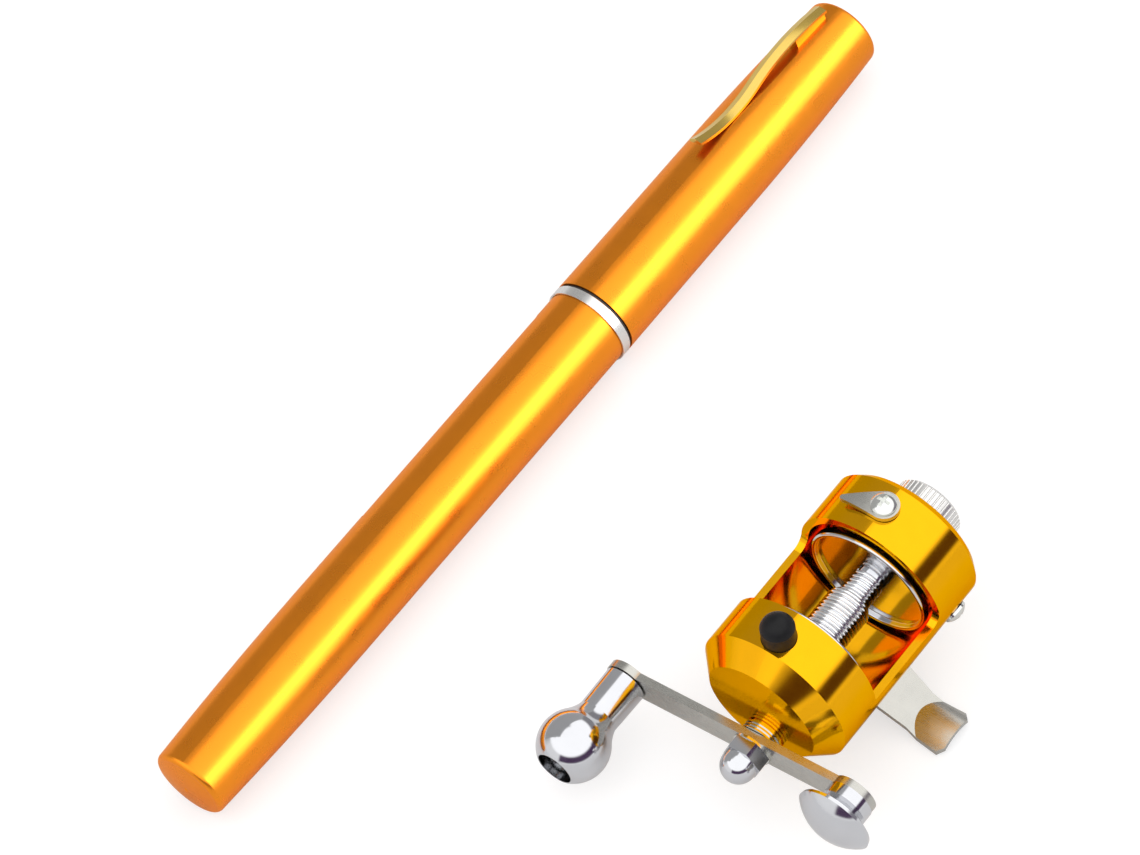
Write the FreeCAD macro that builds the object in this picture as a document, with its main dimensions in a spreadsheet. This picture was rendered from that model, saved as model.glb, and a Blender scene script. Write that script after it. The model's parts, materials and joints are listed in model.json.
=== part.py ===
"""A pocket fishing rod, closed, with its small drum reel standing beside it.

Both are modelled along +X: the rod from its butt (x = 0) to the top of its cap, the reel from the
flat face on its crank side (x = 0) to its tension knob.  Each sub-part is drawn in its own
assembly's frame, and its Placement sets it beside the other one in the shared frame: +Z is up, and
the origin is under the middle of the pair, on the surface that they stand on.
"""
import FreeCAD, Part
import math
import os
import Sketcher

Vector = FreeCAD.Vector
Rotation = FreeCAD.Rotation
Placement = FreeCAD.Placement

OVERRUN = 1.0  # how far a cutter runs past the face that it cuts
SINK = 0.1  # how far a joined shape starts inside the one that it grows from
LONG = 60.0  # longer than any piece of the reel
TINY = 0.001  # keeps a flank's first point just outside its base circle
WIRE_SIDES = 8  # flats round the spring's wire

doc = FreeCAD.newDocument("pocket_rod_and_reel")
sheet = doc.addObject("Spreadsheet::Sheet", "Sizes")

ROD_SIZES = {
    "rod_length": 205.0,
    # handle barrel
    "barrel_radius": 8.5, "barrel_top_radius": 8.53, "barrel_bore": 6.4, "barrel_end": 123.0,
    "butt_radius": 7.6, "butt_edge": 1.15, "butt_dome": 0.75, "taper_end": 43.0,
    "plug_end": 6.5, "bumper_radius": 5.5, "bumper_end": 8.6,
    # reel seat: a turned recess on the +Y side, with an undercut lip at its lower end
    "seat_floor": 7.0, "seat_half_width": 5.0, "seat_start": 62.0, "seat_end": 116.0,
    "lip_start": 57.0, "lip_inside": 8.12,
    # mouth of the barrel
    "collar_start": 116.5, "collar_bore": 5.9, "collar_flange": 0.4,
    "spigot_radius": 8.0, "spigot_end": 134.0, "spigot_chamfer": 0.5,
    "ring_start": 120.8, "ring_width": 2.0, "ring_bore": 8.59, "ring_radius": 8.9,
    # cap
    "cap_start": 123.5, "cap_radius": 8.9, "cap_straight_end": 161.0, "cap_middle_radius": 8.8,
    "cap_top_radius": 7.66, "cap_edge": 1.0, "cap_shell_end": 204.6, "cap_bore": 8.0,
    "cap_bore_end": 165.0, "cap_plug_radius": 6.6, "cap_plug_start": 198.6,
    "liner_bore": 8.06, "liner_radius": 8.4, "liner_end": 134.9,
    # clip, in a plane through the rod's axis that leans back a little from vertical
    "clip_lean": 13.3, "clip_end": 201.0, "clip_crest": 189.0, "clip_crest_radius": 10.45,
    "clip_valley": 172.5, "clip_valley_radius": 8.75, "clip_tip": 161.0,
    "clip_crest_bend": 50.7, "clip_valley_bend": 29.4,
    "clip_half_width": 1.45, "clip_edge_height": 0.55, "clip_ridge_height": 1.15,
    "block_start": 191.5, "block_end": 200.4, "block_half_width": 1.15, "rivet_radius": 0.8,
    "block_sink": 0.6, "rivet_place": 195.5, "rivet_top": 9.6,
    "block_step": 4.4, "block_drop": 1.0, "block_dip": 0.25, "block_rise": 0.15,
    # telescopic sections
    "section_start": 9.0, "foot_length": 8.0, "foot_taper": 1.5, "neck_length": 6.0,
    "foot_play": 0.08, "neck_play": 0.08, "top_1": 144.5, "top_step": 8.0,
    "section_radius_1": 5.6, "section_bore_1": 5.0,
    "section_radius_2": 4.7, "section_bore_2": 4.15,
    "section_radius_3": 3.85, "section_bore_3": 3.35,
    "section_radius_4": 3.05, "section_bore_4": 2.6,
    "section_radius_5": 2.3, "section_bore_5": 1.9,
    "tip_radius": 1.6, "tip_taper_start": 150.0, "tip_end": 192.0, "tip_end_radius": 0.7,
    # line guides
    "ferrule_length": 5.5, "ferrule_wall": 0.35, "guide_wire": 0.25,
    "guide_loop_2": 1.2, "guide_loop_3": 1.5, "guide_loop_4": 1.4, "guide_loop_5": 1.3,
    "tip_loop": 1.1, "tip_tube_length": 4.0, "tip_tube_radius": 1.25, "guide_sink": 0.08,
}

REEL_SIZES = {
    # frame: gear housing, trough and far band, turned in one piece
    "shell_radius": 15.4, "shell_bore": 13.9, "cover_depth": 4.1, "bulkhead_start": 11.9,
    "window_start": 13.4, "window_end": 33.3, "window_floor": -0.4, "window_corner": 2.5,
    "band_end": 42.6, "bush_radius": 2.5, "shaft_radius": 1.25, "shaft_play": 0.05,
    # conical side cover
    "face_radius": 11.5, "cover_wall": 1.6, "cover_lip_end": 6.0, "cover_lip_bore": 12.9,
    "cover_inner_face": 10.2, "cover_boss_radius": 2.8, "cover_boss_end": 2.6,
    "cover_boss_floor": 1.3,
    # crank shaft, 7.45 below the spool shaft
    "gear_distance": 7.45, "crank_shaft_radius": 1.5, "crank_shaft_start": -8.4,
    "crank_shaft_end": 13.2, "boss_radius": 3.9, "boss_start": -2.0, "boss_neck": 3.2,
    "boss_ribs": 3, "rib_depth": 0.35,
    # gears
    "gear_module": 0.4, "gear_teeth": 25, "pinion_teeth": 12, "gear_outer": 5.3,
    "gear_start": 6.2, "gear_width": 2.0, "gear_hub_radius": 2.6, "gear_hub_length": 1.6,
    "pinion_start": 4.2, "pinion_collar": 0.75, "pinion_collar_radius": 2.8,
    "pinion_neck_radius": 1.85, "pinion_neck_end": 5.95, "pinion_teeth_end": 9.6,
    "pinion_end": 11.2, "pinion_hub_radius": 2.6, "pinion_slot": 1.0, "slot_start": 9.9,
    "pin_place": 10.5, "pin_radius": 0.4, "pin_reach": 2.4,
    # clutch yoke and its posts
    "yoke_start": 5.0, "yoke_thickness": 0.9, "yoke_slot": 2.0, "yoke_half_width": 7.0,
    "yoke_ear_top": 3.0, "yoke_prong": -2.2, "yoke_tab": 1.6, "yoke_top": 8.1,
    "post_side": 5.5, "post_height": 1.5, "post_radius": 0.6, "post_start": 2.8,
    "ramp_shift": 14.3, "ramp_half_width": 1.2, "ramp_low": 4.4, "ramp_nose": 5.4,
    # free-spool button
    "button_place": 7.7, "button_radius": 3.2, "button_hole": 3.3, "button_base": 13.25,
    "button_side_top": 18.6, "button_top": 21.0, "flange_radius": 3.6, "flange_thickness": 0.6,
    "stem_radius": 1.2, "stem_top": 18.8, "stem_bottom": 5.6, "wedge_shift": 14.5,
    "wedge_reach": 3.0, "shelf_bottom": 8.6, "shelf_top": 9.2, "shelf_start": 5.3, "shelf_half_width": 3.5,
    "spring_wire": 0.17, "spring_radius": 2.0, "spring_pitch": 0.95,
    # spool
    "spool_start": 13.8, "flange_radius_spool": 12.5, "near_flange": 1.3, "arbor_radius": 2.4,
    "rim_start": 32.1, "far_flange_start": 33.2, "spool_end": 34.2, "rim_width": 0.9,
    "line_start_radius": 4.5, "line_step_place": 26.6, "line_step": 0.8, "line_end_radius": 3.2,
    "line_slump": 0.2, "line_rise": 0.25,
    "shaft_start": 1.4, "shaft_end": 48.6,
    # click wheel, pawl and lever on the third band screw
    "wheel_start": 36.3, "wheel_end": 37.4, "wheel_radius": 9.4, "wheel_hub": 3.0,
    "wheel_teeth": 24, "tooth_depth": 0.9, "tooth_run": 1.5, "tooth_lean": 0.15,
    "tooth_clear": 0.3,
    "screw_place": 39.5, "screw_radius": 1.25, "screw_head_radius": 2.4, "screw_head_top": 17.0,
    "screw_rim": 0.5, "cross_length": 1.3, "cross_width": 0.32, "cross_depth": 0.8,
    "screw_turn": 120.0,
    "screw_tip": 12.5, "pawl_hub": 1.8, "pawl_hub_top": 11.9, "pawl_arm_bottom": 9.1,
    "pawl_arm_top": 9.9, "pawl_reach": 6.4, "pawl_half_width": 0.5, "pawl_tooth_bottom": 7.9,
    "lever_base": 15.55, "lever_thickness": 1.0, "lever_bow": 26.0, "lever_head": 2.9,
    "lever_tip_radius": 0.5, "lever_reach": 8.0, "lever_angle": 15.0,
    # end cap and tension knob
    "lid_lip_start": 38.0, "lid_lip_bore": 12.4, "lid_edge": 44.3, "lid_face": 45.7,
    "lid_face_radius": 14.0, "lid_boss_radius": 3.9, "lid_boss_end": 49.5,
    "lid_bore": 1.5, "lid_bush_end": 45.0,
    "knob_start": 45.95, "knob_end": 52.3, "knob_radius": 6.7, "knob_bore": 4.0,
    "knob_floor": 50.3, "knob_nib_radius": 1.3, "knob_nib_start": 49.5, "knob_edge": 0.6,
    "flutes": 42, "flute_radius": 0.23, "shim_start": 48.7, "shim_end": 49.5,
    # crank plate and what is on it
    "plate_back": -2.1, "plate_thickness": 1.6, "plate_half_width": 3.1, "lug_radius": 4.35,
    "grip_side": 29.5, "weight_side": -22.2, "crank_turn": 8.5,
    "washer_radius": 3.9, "washer_thickness": 0.5, "nut_flats": 3.6, "nut_height": 2.9,
    "nut_tip": -11.4, "nut_dome": 3.45, "nut_bore_end": -8.6,
    "nut_overlap": 0.5,
    "grip_start": -3.95, "grip_base": 4.15, "grip_stem_end": -12.3, "grip_waist": 4.0,
    "grip_flare": 5.7, "grip_flare_bend": 9.0, "grip_ball": 6.9,
    "grip_end": -25.2, "grip_recess": 3.65, "grip_recess_end": -19.5,
    "axle_radius": 1.5, "axle_end": -19.6, "axle_head": 2.7, "axle_head_end": -21.2,
    "axle_tail": 2.3, "axle_tail_end": -1.5, "axle_play": 0.06,
    "axle_slot": 0.35, "axle_slot_depth": 0.8,
    "weight_base": 4.5, "weight_base_end": -5.9, "weight_neck": 4.0, "weight_head": 7.5,
    "weight_head_start": -8.2, "weight_head_side": -8.9, "weight_tip": -12.2,
    "weight_pin": 1.2, "weight_pin_end": -8.0, "weight_edge": 0.2, "weight_fillet": 0.5,
    # foot
    "foot_centre": 24.5, "foot_flat_top": -16.1, "foot_plate": 1.0, "foot_bend": 9.4,
    "foot_slope_end": 15.5, "foot_crest": -19.9, "foot_reach": 23.5, "foot_shoulder": 3.0,
    "saddle_bore": 7.05, "saddle_wall": 1.0, "foot_root": 5.5, "foot_waist": 4.25, "foot_tip": 4.75,
    "foot_corner": 1.2, "pad_half_width": 5.0, "pad_reach": 5.0,
    "foot_screw_side": 3.2, "foot_screw_radius": 0.9, "foot_screw_head": 1.7,
    "foot_screw_low": -18.4, "foot_screw_top": -13.95,
}

LAYOUT_SIZES = {
    "rod_side": 52.28, "reel_side": -31.72, "reel_near_face": -37.1, "reel_height": 22.74,
}


def fill_sheet():
    """Write every driving dimension into the sheet, one row each."""
    row = 1
    for group in (ROD_SIZES, REEL_SIZES, LAYOUT_SIZES):
        for name, value in group.items():
            sheet.set(f"A{row}", name)
            sheet.set(f"B{row}", str(value))
            sheet.setAlias(f"B{row}", name)
            row += 1
    doc.recompute()


class Size:
    """A length that knows its value and the sheet expression behind it."""

    def __init__(self, value, text):
        self.value = value
        self.text = text

    def __add__(self, other):
        other = as_size(other)
        return Size(self.value + other.value, f"({self.text} + {other.text})")

    def __radd__(self, other):
        return as_size(other) + self

    def __sub__(self, other):
        other = as_size(other)
        return Size(self.value - other.value, f"({self.text} - {other.text})")

    def __rsub__(self, other):
        return as_size(other) - self

    def __neg__(self):
        return Size(-self.value, f"(0 - {self.text})")

    def __mul__(self, other):
        other = as_size(other)
        return Size(self.value * other.value, f"({self.text} * {other.text})")

    def __rmul__(self, other):
        return as_size(other) * self

    def __truediv__(self, other):
        other = as_size(other)
        return Size(self.value / other.value, f"({self.text} / {other.text})")

    def root(self):
        return Size(math.sqrt(self.value), f"sqrt({self.text})")


def as_size(number):
    """A plain number counts as a size with no cell behind it."""
    return number if isinstance(number, Size) else Size(float(number), str(float(number)))


class Sheet:
    """Reads the sheet's cells by alias: S.barrel_radius."""

    def __getattr__(self, name):
        return Size(float(sheet.get(name)), f"Sizes.{name}")


S = Sheet()


def cell(name):
    """One cell's plain value, for the few shapes that are computed."""
    return float(sheet.get(name))


def leg(hypotenuse, other):
    """The third side of a right-angled triangle."""
    return (hypotenuse * hypotenuse - other * other).root()


def bow_radius(run, rise):
    """Radius of the arc that is tangent at one end of a run and has risen by rise at the other."""
    return (run * run + rise * rise) / (2 * rise)


# ---------------------------------------------------------------- sketches and features

class Bend:
    """Makes the edge between the points before and after it an arc.

    turn is 1 when the arc's centre is on the left of the way along the outline, -1 on the right.
    """

    def __init__(self, radius, turn):
        self.radius = radius
        self.turn = turn


def arc_edge(start, end, bend):
    """The sketch arc from start to end, and which of its vertices is its start."""
    middle = (start + end) * 0.5
    along = end - start
    half = along.Length / 2
    left = Vector(-along.y, along.x, 0).normalize()
    reach = math.sqrt(max(bend.radius.value ** 2 - half ** 2, 0.0))
    centre = middle + left * (reach * bend.turn)
    first, last = (start, end) if bend.turn > 0 else (end, start)
    from_angle = math.atan2(first.y - centre.y, first.x - centre.x)
    to_angle = math.atan2(last.y - centre.y, last.x - centre.x)
    circle = Part.Circle(centre, Vector(0, 0, 1), bend.radius.value)
    return Part.ArcOfCircle(circle, from_angle, to_angle), (1, 2) if bend.turn > 0 else (2, 1)


def bind(sketch, kind, names, size):
    """Add one dimension to a sketch and drive it from the sheet."""
    index = sketch.addConstraint(Sketcher.Constraint(kind, *names, size.value))
    if "Sizes." in size.text:
        sketch.setExpression(f"Constraints[{index}]", size.text)


def draw(sketch, outline):
    """Draw one closed outline of corners, with Bends between the corners that an arc joins."""
    corners = []
    bends = {}
    for item in outline:
        if isinstance(item, Bend):
            bends[len(corners) - 1] = item
        else:
            corners.append((as_size(item[0]), as_size(item[1])))
    spots = [Vector(u.value, v.value, 0) for u, v in corners]
    edges = []
    for number, start in enumerate(spots):
        end = spots[(number + 1) % len(spots)]
        ends = (1, 2)
        if number in bends:
            edge, ends = arc_edge(start, end, bends[number])
        else:
            edge = Part.LineSegment(start, end)
        edges.append((sketch.addGeometry(edge, False), *ends))
    for number, (edge, first, last) in enumerate(edges):
        following, next_first, next_last = edges[(number + 1) % len(edges)]
        sketch.addConstraint(Sketcher.Constraint("Coincident", edge, last, following, next_first))
        u, v = corners[number]
        bind(sketch, "DistanceX", (-1, 1, edge, first), u)
        bind(sketch, "DistanceY", (-1, 1, edge, first), v)
        if number in bends:
            bind(sketch, "Radius", (edge,), bends[number].radius)


def draw_circle(sketch, u, v, radius):
    """Draw one circle whose centre and radius come from the sheet."""
    u, v, radius = as_size(u), as_size(v), as_size(radius)
    circle = Part.Circle(Vector(u.value, v.value, 0), Vector(0, 0, 1), radius.value)
    edge = sketch.addGeometry(circle, False)
    bind(sketch, "DistanceX", (-1, 1, edge, 3), u)
    bind(sketch, "DistanceY", (-1, 1, edge, 3), v)
    bind(sketch, "Radius", (edge,), radius)


class Home:
    """Where an assembly stands in the shared frame; every piece made meanwhile is put there."""

    def __init__(self, x, y, z, rotation=None):
        self.spot = [as_size(x), as_size(y), as_size(z)]
        self.rotation = rotation or Rotation()

    def shifted(self, x=0, y=0, z=0):
        here = self.spot
        return Home(here[0] + x, here[1] + y, here[2] + z, self.rotation)

    def turned(self, degrees):
        """The same spot, turned about X."""
        return Home(*self.spot, Rotation(Vector(1, 0, 0), degrees))

    def swung(self, reach, degrees):
        """The spot that far along +Y once that way is turned about X, and turned with it."""
        angle = math.radians(degrees)
        return self.shifted(y=reach * math.cos(angle), z=reach * math.sin(angle)).turned(degrees)

    def put(self, piece):
        values = [size.value for size in self.spot]
        piece.Placement = Placement(Vector(*values), self.rotation)
        for axis, size in zip("xyz", self.spot):
            piece.setExpression("Placement.Base." + axis, size.text)


class Bench:
    """Holds the home that new pieces are put in."""
    home = None


def new_body(label):
    body = doc.addObject("PartDesign::Body", label)
    body.Label = label
    Bench.home.put(body)
    return body


def new_sketch(body, role, lift=0):
    """A sketch on one of the body's own origin planes, raised along the plane's normal."""
    sketch = body.newObject("Sketcher::SketchObject", body.Label + "_sketch")
    plane = [item for item in body.Origin.OriginFeatures if item.Role == role][0]
    sketch.AttachmentSupport = [(plane, "")]
    sketch.MapMode = "FlatFace"
    lift = as_size(lift)
    sketch.AttachmentOffset = Placement(Vector(0, 0, lift.value), Rotation())
    if "Sizes." in lift.text:
        sketch.setExpression("AttachmentOffset.Base.z", lift.text)
    return sketch


def revolve(body, outline, axis="H_Axis", kind="Revolution"):
    """Turn an outline in the XZ plane about X (H_Axis) or about Z (V_Axis)."""
    sketch = new_sketch(body, "XZ_Plane")
    draw(sketch, outline)
    feature = body.newObject("PartDesign::" + kind, body.Label + "_" + kind.lower())
    feature.Profile = sketch
    feature.ReferenceAxis = (sketch, [axis])
    feature.Angle = 360
    return feature


def turned(label, outline, axis="H_Axis"):
    body = new_body(label)
    revolve(body, outline, axis)
    return body


def extrude(body, sketch, length, kind="Pad", middle=False, back=False):
    """Pad or pocket a sketch; a pocket has to take some of the body away."""
    length = as_size(length)
    doc.recompute()
    before = body.Shape.Volume if kind == "Pocket" else 0
    feature = body.newObject("PartDesign::" + kind, body.Label + "_" + kind.lower())
    feature.Profile = sketch
    feature.Length = length.value
    if "Sizes." in length.text:
        feature.setExpression("Length", length.text)
    if middle:
        feature.SideType = "Symmetric"
    feature.Reversed = back
    doc.recompute()
    if kind == "Pocket" and not feature.Shape.Volume < before - 1e-6:
        raise RuntimeError(f"{feature.Name} cuts nothing")
    return feature


def pad(body, role, outline, length, lift=0, middle=False, back=False):
    sketch = new_sketch(body, role, lift)
    draw(sketch, outline)
    return extrude(body, sketch, length, "Pad", middle, back)


def pocket(body, role, outline, length, lift=0, middle=False, back=True):
    """Pockets run along the plane's normal unless back is False."""
    sketch = new_sketch(body, role, lift)
    draw(sketch, outline)
    return extrude(body, sketch, length, "Pocket", middle, back)


def drill(body, role, circles, length, lift=0, middle=False, back=True):
    """Round holes: circles is a list of (u, v, radius)."""
    sketch = new_sketch(body, role, lift)
    for u, v, radius in circles:
        draw_circle(sketch, u, v, radius)
    return extrude(body, sketch, length, "Pocket", middle, back)


def box(u_low, u_high, v_low, v_high):
    """A rectangle's outline."""
    return [(u_low, v_low), (u_high, v_low), (u_high, v_high), (u_low, v_high)]


def repeat_round(body, feature, axis_role, count, angle=360):
    """Repeat a feature about one of the body's own axes."""
    pattern = body.newObject("PartDesign::PolarPattern", body.Label + "_pattern")
    pattern.Originals = [feature]
    axis = [item for item in body.Origin.OriginFeatures if item.Role == axis_role][0]
    pattern.Axis = (axis, [""])
    pattern.Angle = angle
    pattern.Occurrences = count
    body.Tip = pattern
    return pattern


def carve(label, base, tools):
    """base with the shapes of its neighbours taken out of it."""
    for number, tool in enumerate(tools):
        result = doc.addObject("Part::Cut", f"{label}_cut_{number}")
        result.Base = base
        result.Tool = tool
        base = result
    base.Label = label
    return base


def mirrored_pair(label, source):
    """A piece and its mirror image across the reel's middle plane, as one node of two solids."""
    twin = doc.addObject("Part::Mirroring", label + "_twin")
    twin.Source = source
    twin.Normal = Vector(0, 1, 0)
    twin.Base = Vector(0, cell("reel_side"), 0)
    pair = doc.addObject("Part::Compound", label)
    pair.Links = [source, twin]
    pair.Label = label
    return pair


def computed(label, shape):
    """A shape that is worked out from the sheet by this file's own functions."""
    feature = doc.addObject("Part::Feature", label)
    feature.Shape = shape
    feature.Label = label
    Bench.home.put(feature)
    return feature


def wire_ring(label, loop, x, side):
    """A wire loop square to X, its centre beside the axis."""
    ring = doc.addObject("Part::Torus", label + "_loop")
    ring.setExpression("Radius1", loop.text)
    ring.setExpression("Radius2", S.guide_wire.text)
    home = Bench.home.shifted(x, side)
    home.rotation = Rotation(Vector(0, 1, 0), 90)
    home.put(ring)
    return ring


def joined(label, base, tool):
    both = doc.addObject("Part::Fuse", label)
    both.Base = base
    both.Tool = tool
    both.Label = label
    return both


def rod_along(start, end, radius):
    """A plain cylinder along X, as a Part shape."""
    return Part.makeCylinder(radius, end - start, Vector(start, 0, 0), Vector(1, 0, 0))


# ---------------------------------------------------------------- the rod's handle and cap

def make_barrel():
    taper_start = S.butt_dome + S.butt_edge
    run = S.taper_end - taper_start
    barrel = turned("barrel", [
        (S.butt_dome, S.barrel_bore),
        (S.butt_dome, S.butt_radius - S.butt_edge), Bend(S.butt_edge, -1),
        (taper_start, S.butt_radius), Bend(bow_radius(run, S.barrel_radius - S.butt_radius), -1),
        (S.taper_end, S.barrel_radius), (S.lip_start, S.barrel_radius),
        (S.barrel_end, S.barrel_top_radius),
        (S.barrel_end, S.barrel_bore)])
    half = S.seat_half_width
    floor_side = leg(S.seat_floor, half)
    lip_side = leg(S.lip_inside, half)
    clear = S.barrel_radius + OVERRUN
    pocket(barrel, "YZ_Plane", [(floor_side, -half), Bend(S.seat_floor, 1), (floor_side, half),
                                (clear, half), (clear, -half)],
           S.seat_end - S.seat_start, lift=S.seat_start)
    pocket(barrel, "YZ_Plane", [(floor_side, -half), Bend(S.seat_floor, 1), (floor_side, half),
                                (lip_side, half), Bend(S.lip_inside, -1), (lip_side, -half)],
           S.seat_start - S.lip_start, lift=S.lip_start)
    return barrel


def make_barrel_fittings():
    turned("end_plug", [
        (0, 0), Bend(bow_radius(S.barrel_bore, S.butt_dome), -1), (S.butt_dome, S.barrel_bore),
        (S.plug_end, S.barrel_bore), (S.plug_end, 0)])
    turned("bumper", [
        (S.plug_end, 0), (S.plug_end, S.bumper_radius), (S.bumper_end, S.bumper_radius),
        (S.bumper_end, 0)])
    flange_end = S.barrel_end + S.collar_flange
    turned("seat_collar", [
        (S.collar_start, S.collar_bore), (S.collar_start, S.barrel_bore),
        (S.barrel_end, S.barrel_bore), (S.barrel_end, S.barrel_top_radius),
        (flange_end, S.barrel_top_radius), (flange_end, S.spigot_radius),
        (S.spigot_end - S.spigot_chamfer, S.spigot_radius),
        (S.spigot_end, S.spigot_radius - S.spigot_chamfer), (S.spigot_end, S.collar_bore)])
    ring_end = S.ring_start + S.ring_width
    turned("lock_ring", [
        (S.ring_start, S.ring_bore), (S.ring_start, S.ring_radius),
        (ring_end, S.ring_radius), (ring_end, S.ring_bore)])


def make_cap():
    edge_start = S.cap_shell_end - S.cap_edge
    run = edge_start - S.cap_straight_end
    shell = turned("cap_shell_blank", [
        (S.cap_start, S.liner_radius), (S.cap_start, S.cap_radius),
        (S.cap_straight_end, S.cap_middle_radius),
        Bend(bow_radius(run, S.cap_middle_radius - S.cap_top_radius), -1),
        (edge_start, S.cap_top_radius), Bend(S.cap_edge, -1),
        (S.cap_shell_end, S.cap_top_radius - S.cap_edge),
        (S.cap_shell_end, S.cap_plug_radius), (S.cap_plug_start, S.cap_plug_radius),
        (S.cap_bore_end, S.cap_bore), (S.liner_end, S.cap_bore), (S.liner_end, S.liner_radius)])
    turned("cap_liner", [
        (S.cap_start, S.liner_bore), (S.cap_start, S.liner_radius),
        (S.liner_end, S.liner_radius), (S.liner_end, S.liner_bore)])
    plug_dome = S.rod_length - S.cap_shell_end
    turned("cap_plug", [
        (S.cap_plug_start, 0), (S.cap_plug_start, S.cap_plug_radius),
        (S.cap_shell_end, S.cap_plug_radius), Bend(bow_radius(S.cap_plug_radius, plug_dome), -1),
        (S.rod_length, 0)])
    return shell


def clip_joint():
    """Where the clip's crest bend runs into its valley bend: its place and its radius."""
    share = S.clip_valley_bend / (S.clip_valley_bend + S.clip_crest_bend)
    return (S.clip_valley + (S.clip_crest - S.clip_valley) * share,
            S.clip_valley_radius + (S.clip_crest_radius - S.clip_valley_radius) * share)


def make_clip():
    """A roof-shaped strip swept along two bends: over the crest, then down and out at the tip."""
    clip = new_body("pocket_clip")
    path = new_sketch(clip, "XZ_Plane")
    end_run = S.clip_end - S.clip_crest
    end_height = S.clip_crest_radius - S.clip_crest_bend + leg(S.clip_crest_bend, end_run)
    tip_run = S.clip_valley - S.clip_tip
    tip_height = S.clip_valley_radius + S.clip_valley_bend - leg(S.clip_valley_bend, tip_run)
    joint = clip_joint()
    spots = [(S.clip_end, end_height), joint, (S.clip_tip, tip_height)]
    bends = [Bend(S.clip_crest_bend, 1), Bend(S.clip_valley_bend, -1)]
    edges = []
    for number, bend in enumerate(bends):
        start, end = [Vector(u.value, v.value, 0) for u, v in spots[number:number + 2]]
        edge, ends = arc_edge(start, end, bend)
        edges.append((path.addGeometry(edge, False), *ends))
    for number, (edge, first, last) in enumerate(edges):
        bind(path, "DistanceX", (-1, 1, edge, first), spots[number][0])
        bind(path, "DistanceY", (-1, 1, edge, first), spots[number][1])
        bind(path, "Radius", (edge,), bends[number].radius)
    path.addConstraint(Sketcher.Constraint("Coincident", edges[0][0], edges[0][2],
                                           edges[1][0], edges[1][1]))
    bind(path, "DistanceX", (-1, 1, edges[1][0], edges[1][2]), spots[2][0])
    bind(path, "DistanceY", (-1, 1, edges[1][0], edges[1][2]), spots[2][1])
    section = new_sketch(clip, "YZ_Plane", lift=S.clip_end)
    draw(section, [(-S.clip_half_width, end_height), (S.clip_half_width, end_height),
                   (S.clip_half_width, end_height + S.clip_edge_height),
                   (0, end_height + S.clip_ridge_height),
                   (-S.clip_half_width, end_height + S.clip_edge_height)])
    strip = clip.newObject("PartDesign::AdditivePipe", "clip_strip")
    strip.Profile = section
    strip.Spine = path
    doc.recompute()
    return clip


def make_clip_fixing(shell, clip):
    """The block between clip and cap, and the hidden rivet through the cap's wall into it."""
    rivet_low = S.cap_plug_radius + SINK
    rivet = new_body("clip_rivet")
    sketch = new_sketch(rivet, "XY_Plane", lift=rivet_low)
    draw_circle(sketch, S.rivet_place, 0, S.rivet_radius)
    extrude(rivet, sketch, S.rivet_top - rivet_low)
    block = new_body("clip_block_blank")
    crest = S.clip_crest_radius
    pad(block, "XZ_Plane", [
        (S.block_start, S.cap_plug_radius + S.block_sink),
        (S.block_end, S.cap_plug_radius + S.block_sink),
        (S.block_end, crest - S.block_drop), (S.block_end - S.block_step, crest - S.block_dip),
        (S.block_start, crest + S.block_rise)], 2 * S.block_half_width, middle=True)
    drilled = carve("cap_shell", shell, [rivet])
    carve("clip_block", block, [drilled, clip, rivet])


# ---------------------------------------------------------------- telescopic sections and guides

def section_top(number):
    return S.top_1 + S.top_step * (number - 1)


def make_section(number):
    """One tube: a swelled foot that jams in the tube below, and a neck that stops the next one."""
    radius = getattr(S, f"section_radius_{number}")
    bore = getattr(S, f"section_bore_{number}")
    around = S.barrel_bore if number == 1 else getattr(S, f"section_bore_{number - 1}")
    inside = S.tip_radius if number == 5 else getattr(S, f"section_radius_{number + 1}")
    foot = around - S.foot_play
    neck = inside + S.neck_play
    top = section_top(number)
    foot_end = S.section_start + S.foot_length
    turned(f"rod_section_{number}", [
        (S.section_start, bore), (S.section_start, foot), (foot_end, foot),
        (foot_end + S.foot_taper, radius), (top, radius), (top, neck),
        (top - S.neck_length, neck), (top - S.neck_length - S.foot_taper, bore)])


def make_tip():
    foot = S.section_bore_5 - S.foot_play
    foot_end = S.section_start + S.foot_length
    return turned("rod_tip", [
        (S.section_start, 0), (S.section_start, foot), (foot_end, foot),
        (foot_end + S.foot_taper, S.tip_radius), (S.tip_taper_start, S.tip_radius),
        (S.tip_end, S.tip_end_radius), (S.tip_end, 0)])


def make_ferrule(label, start, length, radius):
    outside = radius + S.ferrule_wall
    return turned(label, [(start, radius), (start, outside),
                          (start + length, outside), (start + length, radius)])


def make_guides():
    """A ferrule round each section's mouth; from the second on, with a wire loop on the +Y side."""
    length = S.ferrule_length
    make_ferrule("ferrule_1", section_top(1) - length, length, S.section_radius_1)
    for number in range(2, 6):
        radius = getattr(S, f"section_radius_{number}")
        loop = getattr(S, f"guide_loop_{number}")
        start = section_top(number) - length
        name = f"guide_{number}"
        ferrule = make_ferrule(name + "_ferrule", start, length, radius)
        side = radius + S.ferrule_wall + loop - S.guide_sink
        joined(name, ferrule, wire_ring(name, loop, start + length / 2, side))


def make_tip_guide(tip):
    tube_start = S.tip_end - S.tip_tube_length
    tube = turned("tip_guide_tube", [
        (tube_start, 0), (tube_start, S.tip_tube_radius), (S.tip_end, S.tip_tube_radius - 0.2),
        (S.tip_end, 0)])
    side = S.tip_tube_radius + S.tip_loop - S.guide_sink
    ring = wire_ring("tip_guide", S.tip_loop, tube_start + S.tip_tube_length / 2, side)
    carve("tip_guide", joined("tip_guide_blank", tube, ring), [tip])


# ---------------------------------------------------------------- the reel's housing

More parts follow.
